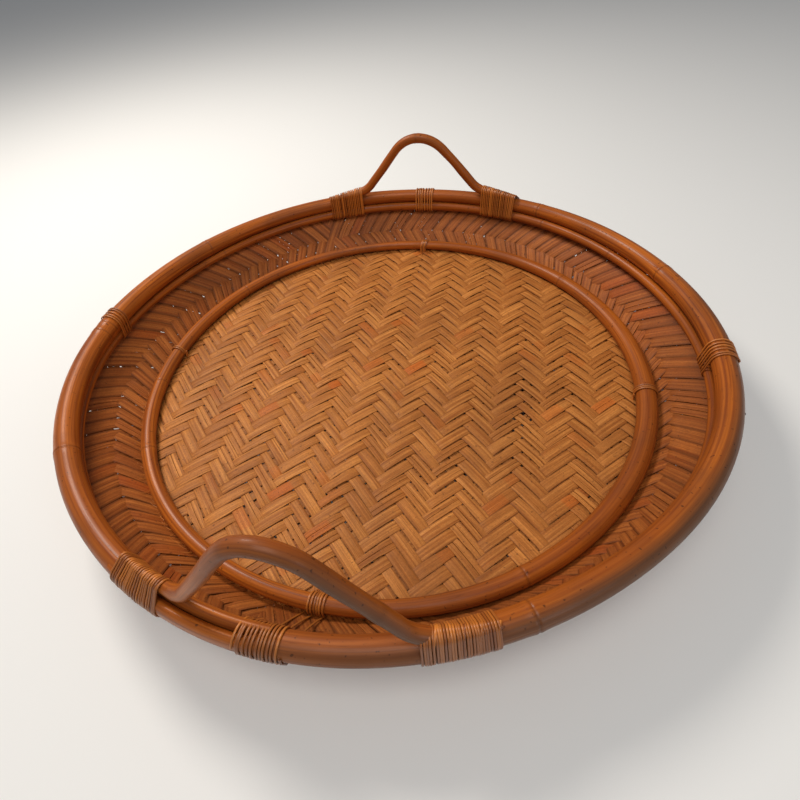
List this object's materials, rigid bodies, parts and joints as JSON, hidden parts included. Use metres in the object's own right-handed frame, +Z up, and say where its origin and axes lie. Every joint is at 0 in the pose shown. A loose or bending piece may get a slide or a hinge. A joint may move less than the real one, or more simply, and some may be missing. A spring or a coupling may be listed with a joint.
{
  "type": "woven bamboo tray",
  "caption": "Round shallow woven bamboo tray with a rattan rim, a rattan ring on the floor and an arched rattan handle lashed on at each end.",
  "frame": {"origin": "centre of the circle that the base hoop stands on, at table height", "axes": "+Z up, +Y from the tray centre to the back handle, +X to the right of somebody at the front handle"},
  "size_m": [0.5024, 0.5024, 0.1444],
  "materials": {
    "rattan_pole": "bent rattan pole, honey brown, worn satin varnish",
    "bamboo_split": "flat bamboo splits with lengthwise grain, stained brown, dull",
    "cane": "thin peeled cane strand, golden brown, slightly glossy",
    "nail": "small darkened steel pin"
  },
  "bodies": {
    "root": {"rim_outer_hoop": "rattan_pole", "rim_inner_hoop": "rattan_pole", "rim_lower_hoop": "rattan_pole", "floor_ring": "rattan_pole", "base_ring": "rattan_pole", "handle_front": "rattan_pole", "handle_back": "rattan_pole", "woven_wall_band": "bamboo_split", "floor_splits_lengthwise": "bamboo_split", "floor_splits_crosswise": "bamboo_split", "rim_wrap_front": "cane", "rim_wrap_right": "cane", "rim_wrap_back": "cane", "rim_wrap_left": "cane", "handle_wrap_front_left": "cane", "handle_wrap_front_right": "cane", "handle_wrap_back_left": "cane", "handle_wrap_back_right": "cane", "ring_lashing_front": "cane", "ring_lashing_right": "cane", "ring_lashing_back": "cane", "ring_lashing_left": "cane", "rim_nail": "nail"}
  },
  "joints": []
}
